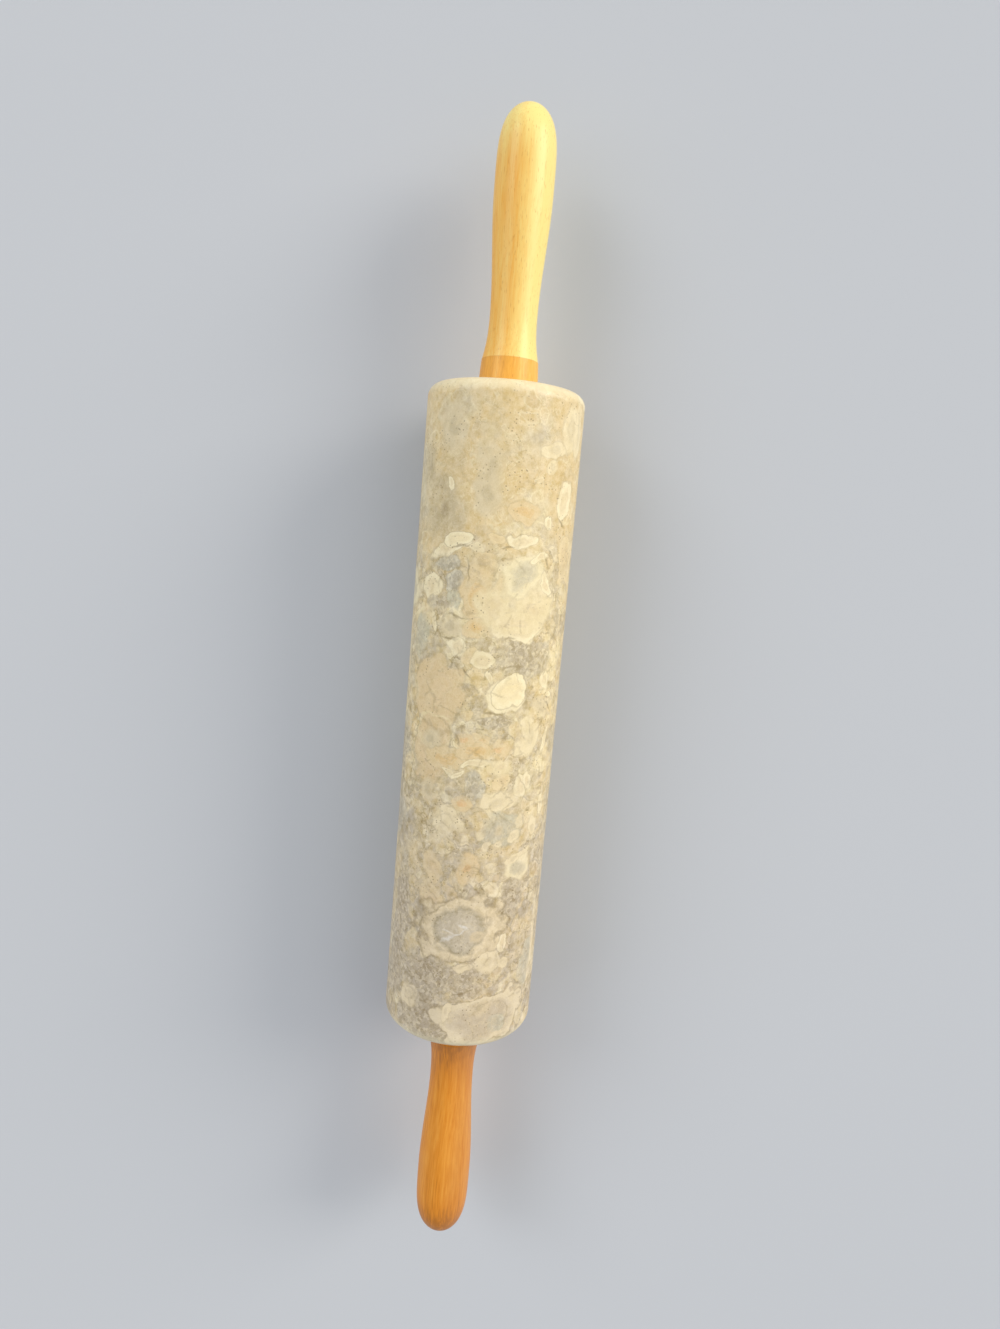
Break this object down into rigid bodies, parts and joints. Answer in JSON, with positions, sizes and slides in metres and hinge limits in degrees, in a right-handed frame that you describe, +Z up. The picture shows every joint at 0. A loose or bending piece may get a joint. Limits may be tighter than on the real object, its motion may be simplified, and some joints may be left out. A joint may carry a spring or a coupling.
{
  "type": "stone rolling pin",
  "caption": "Rolling pin with a solid stone barrel that turns freely on a steel axle in ball bearings, between two turned wooden handles.",
  "frame": {"origin": "on the axle's centre line, half way along the stone barrel", "axes": "+X along the pin towards its right handle, +Z up, and the pin lies on a table that is parallel to the XY plane"},
  "size_m": [0.4572, 0.06, 0.06],
  "materials": {
    "stone": "polished",
    "handle_wood": "satin lacquer",
    "axle_steel": "ground",
    "fastener_steel": "zinc plated",
    "bearing_steel": "polished",
    "ball_steel": "polished",
    "shield_steel": "pressed",
    "insert_brass": "machined",
    "cup_plastic": "moulded",
    "cage_plastic": "moulded"
  },
  "bodies": {
    "axle_and_handles": {"axle_rod": "axle_steel", "handle_left": "handle_wood", "handle_right": "handle_wood", "threaded_insert_left": "insert_brass", "threaded_insert_right": "insert_brass", "lock_nut_left": "fastener_steel", "lock_nut_right": "fastener_steel", "spring_washer_left": "fastener_steel", "spring_washer_right": "fastener_steel", "flat_washer_left": "fastener_steel", "flat_washer_right": "fastener_steel", "bearing_inner_ring_left": "bearing_steel", "bearing_inner_ring_right": "bearing_steel"},
    "barrel": {"stone_barrel": "stone", "bearing_cup_left": "cup_plastic", "bearing_cup_right": "cup_plastic", "bearing_outer_ring_left": "bearing_steel", "bearing_outer_ring_right": "bearing_steel", "bearing_front_shield_left": "shield_steel", "bearing_front_shield_right": "shield_steel", "bearing_back_shield_left": "shield_steel", "bearing_back_shield_right": "shield_steel"},
    "ball_train_left": {"bearing_balls_left": "ball_steel", "bearing_cage_left": "cage_plastic"},
    "ball_train_right": {"bearing_balls_right": "ball_steel", "bearing_cage_right": "cage_plastic"}
  },
  "joints": [
    {"name": "barrel_spin", "type": "hinge", "parent": "axle_and_handles", "child": "barrel", "pos_m": [0, 0, 0], "axis": [1, 0, 0], "continuous": true},
    {"name": "ball_train_left_spin", "type": "hinge", "parent": "axle_and_handles", "child": "ball_train_left", "pos_m": [-0.1215, 0, 0], "axis": [1, 0, 0], "continuous": true},
    {"name": "ball_train_right_spin", "type": "hinge", "parent": "axle_and_handles", "child": "ball_train_right", "pos_m": [0.1215, 0, 0], "axis": [1, 0, 0], "continuous": true}
  ],
  "couplings": [
    {"joint": "ball_train_left_spin", "follows": "barrel_spin", "ratio": 0.632},
    {"joint": "ball_train_right_spin", "follows": "barrel_spin", "ratio": 0.632}
  ]
}
